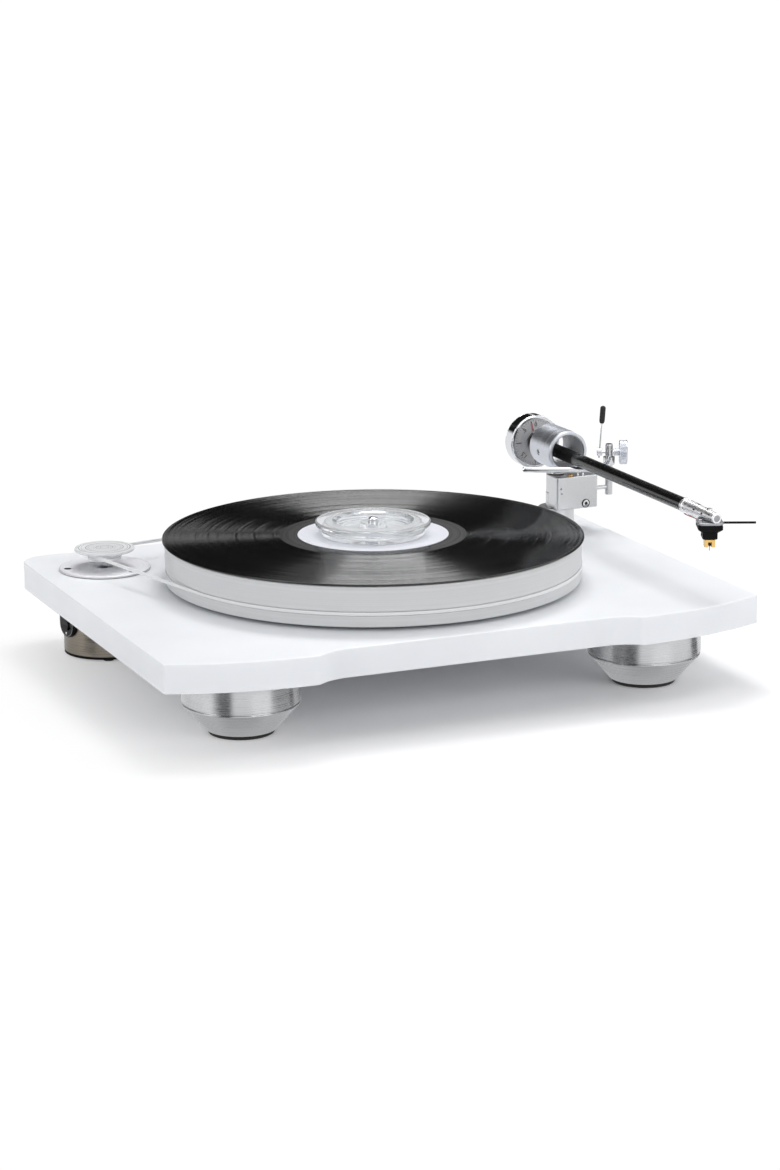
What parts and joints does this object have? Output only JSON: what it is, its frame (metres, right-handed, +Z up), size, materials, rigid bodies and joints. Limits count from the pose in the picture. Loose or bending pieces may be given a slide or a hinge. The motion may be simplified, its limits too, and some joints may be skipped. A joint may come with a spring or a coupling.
{
  "type": "belt drive turntable",
  "caption": "Belt drive record player: thick acrylic plinth on turned feet, separate round motor, thick platter with record and clamp, straight tonearm on a block.",
  "frame": {"origin": "middle of the floor area under the whole object, on the surface it stands on", "axes": "+Z up, +X to the right along the front edge, +Y towards the back"},
  "size_m": [0.4616, 0.3476, 0.1555],
  "materials": {
    "frosted_acrylic": "frosted white acrylic sheet with polished edges",
    "white_acrylic": "frosted acrylic, matt turned edge",
    "clear_acrylic": "clear turned acrylic",
    "black_vinyl": "glossy black vinyl with fine grooves",
    "label_paper": "plain white paper",
    "clear_silicone": "translucent silicone",
    "carbon_tube": "black lacquered carbon fibre",
    "gold_alloy": "gold plated",
    "turned_aluminium": "fine turned aluminium",
    "satin_aluminium": "bead blasted, satin",
    "polished_steel": "polished",
    "headshell_alloy": "polished heavy alloy",
    "sintered_bronze": "oiled sintered bronze",
    "black_plastic": "black moulded",
    "black_rubber": "matt black",
    "brushed_steel": "brushed stainless"
  },
  "bodies": {
    "turntable": {"plinth": "frosted_acrylic", "foot_stud_front_left": "polished_steel", "foot_stud_front_right": "polished_steel", "foot_stud_rear": "polished_steel", "bearing_housing": "turned_aluminium", "bearing_bush": "sintered_bronze", "drive_belt": "clear_silicone", "motor_housing": "brushed_steel", "motor_base": "black_plastic", "motor_foot_1": "black_rubber", "motor_foot_2": "black_rubber", "motor_foot_3": "black_rubber", "motor_cap": "satin_aluminium", "motor_body": "satin_aluminium", "motor_cap_screw_1": "polished_steel", "motor_cap_screw_2": "polished_steel", "switch_plate": "black_plastic", "mains_gland": "black_plastic", "arm_pillar": "satin_aluminium", "pillar_nut": "satin_aluminium", "signal_gland": "black_rubber"},
    "foot_front_left": {"foot_body_front_left": "turned_aluminium", "foot_pad_front_left": "black_rubber"},
    "foot_front_right": {"foot_body_front_right": "turned_aluminium", "foot_pad_front_right": "black_rubber"},
    "foot_rear": {"foot_body_rear": "turned_aluminium", "foot_pad_rear": "black_rubber"},
    "platter": {"platter": "white_acrylic", "platter_hub": "turned_aluminium", "bearing_shaft": "polished_steel", "thrust_ball": "polished_steel"},
    "record": {"record": "black_vinyl", "record_label": "label_paper"},
    "clamp": {"record_clamp": "clear_acrylic"},
    "pulley": {"pulley": "clear_acrylic", "motor_shaft": "polished_steel"},
    "switch": {"power_switch": "black_plastic"},
    "arm_base": {"arm_block": "satin_aluminium", "clamp_bolt": "polished_steel", "pivot_bush": "sintered_bronze", "lift_post": "satin_aluminium"},
    "arm_bearing": {"bearing_ring": "turned_aluminium", "pivot_shaft": "polished_steel", "pivot_screw_left": "polished_steel", "pivot_screw_right": "polished_steel"},
    "arm": {"arm_tube": "carbon_tube", "weight_stub": "polished_steel", "headshell": "headshell_alloy", "headshell_screw": "polished_steel", "cartridge_body": "black_plastic", "cartridge_generator": "gold_alloy", "stylus": "polished_steel", "finger_lift": "black_plastic"},
    "weight_carrier": {"weight_insert": "black_plastic"},
    "weight": {"counterweight": "polished_steel", "weight_dial": "satin_aluminium"},
    "lift": {"lift_bar": "polished_steel"},
    "lift_handle": {"lift_lever": "polished_steel", "lift_grip": "black_rubber", "lift_knob": "satin_aluminium"}
  },
  "joints": [
    {"name": "platter_spin", "type": "hinge", "parent": "turntable", "child": "platter", "pos_m": [-0.01619, 0.00485, 0.08], "axis": [0, 0, 1], "continuous": true},
    {"name": "pulley_spin", "type": "hinge", "parent": "turntable", "child": "pulley", "pos_m": [-0.18219, 0.11425, 0.074], "axis": [0, 0, 1], "continuous": true},
    {"name": "record_lift", "type": "slide", "parent": "platter", "child": "record", "axis": [0, 0, 1], "range_m": [0, 0.02]},
    {"name": "clamp_lift", "type": "slide", "parent": "record", "child": "clamp", "axis": [0, 0, 1], "range_m": [0, 0.025]},
    {"name": "arm_height", "type": "slide", "parent": "turntable", "child": "arm_base", "axis": [0, 0, 1], "range_m": [0, 0.004]},
    {"name": "arm_swing", "type": "hinge", "parent": "arm_base", "child": "arm_bearing", "pos_m": [0.17281, 0.09185, 0.123], "axis": [0, 0, -1], "range_deg": [-6, 51]},
    {"name": "arm_tilt", "type": "hinge", "parent": "arm_bearing", "child": "arm", "pos_m": [0.17281, 0.09185, 0.123], "axis": [-1, 0, 0], "range_deg": [-0.25, 10]},
    {"name": "weight_travel", "type": "slide", "parent": "arm", "child": "weight_carrier", "axis": [0, 1, 0.0079], "range_m": [-0.003, 0.003]},
    {"name": "weight_turn", "type": "hinge", "parent": "weight_carrier", "child": "weight", "pos_m": [0.17281, 0.12785, 0.12328], "axis": [0, 1, 0.0079], "range_deg": [-1080, 1080]},
    {"name": "lift_raise", "type": "slide", "parent": "arm_base", "child": "lift", "axis": [0, 0, 1], "range_m": [-0.002, 0]},
    {"name": "lift_lever_turn", "type": "hinge", "parent": "arm_base", "child": "lift_handle", "pos_m": [0.21451, 0.08565, 0.1195], "axis": [0.9063, -0.4226, 0], "range_deg": [0, 70]},
    {"name": "switch_rock", "type": "hinge", "parent": "turntable", "child": "switch", "pos_m": [-0.21503, 0.10763, 0.028], "axis": [0.1977, -0.9803, 0], "range_deg": [0, 8]},
    {"name": "foot_front_left_turn", "type": "hinge", "parent": "turntable", "child": "foot_front_left", "pos_m": [-0.16479, -0.11825, 0.02], "axis": [0, 0, 1], "range_deg": [-180, 180]},
    {"name": "foot_front_right_turn", "type": "hinge", "parent": "turntable", "child": "foot_front_right", "pos_m": [0.13781, -0.11825, 0.02], "axis": [0, 0, 1], "range_deg": [-180, 180]},
    {"name": "foot_rear_turn", "type": "hinge", "parent": "turntable", "child": "foot_rear", "pos_m": [-0.01349, 0.11685, 0.02], "axis": [0, 0, 1], "range_deg": [-180, 180]}
  ],
  "couplings": [
    {"joint": "pulley_spin", "follows": "platter_spin", "ratio": 11.825},
    {"joint": "lift_lever_turn", "follows": "lift_raise", "rad_per_m": -610.8},
    {"joint": "weight_travel", "follows": "weight_turn", "m_per_rad": 0.000159}
  ]
}
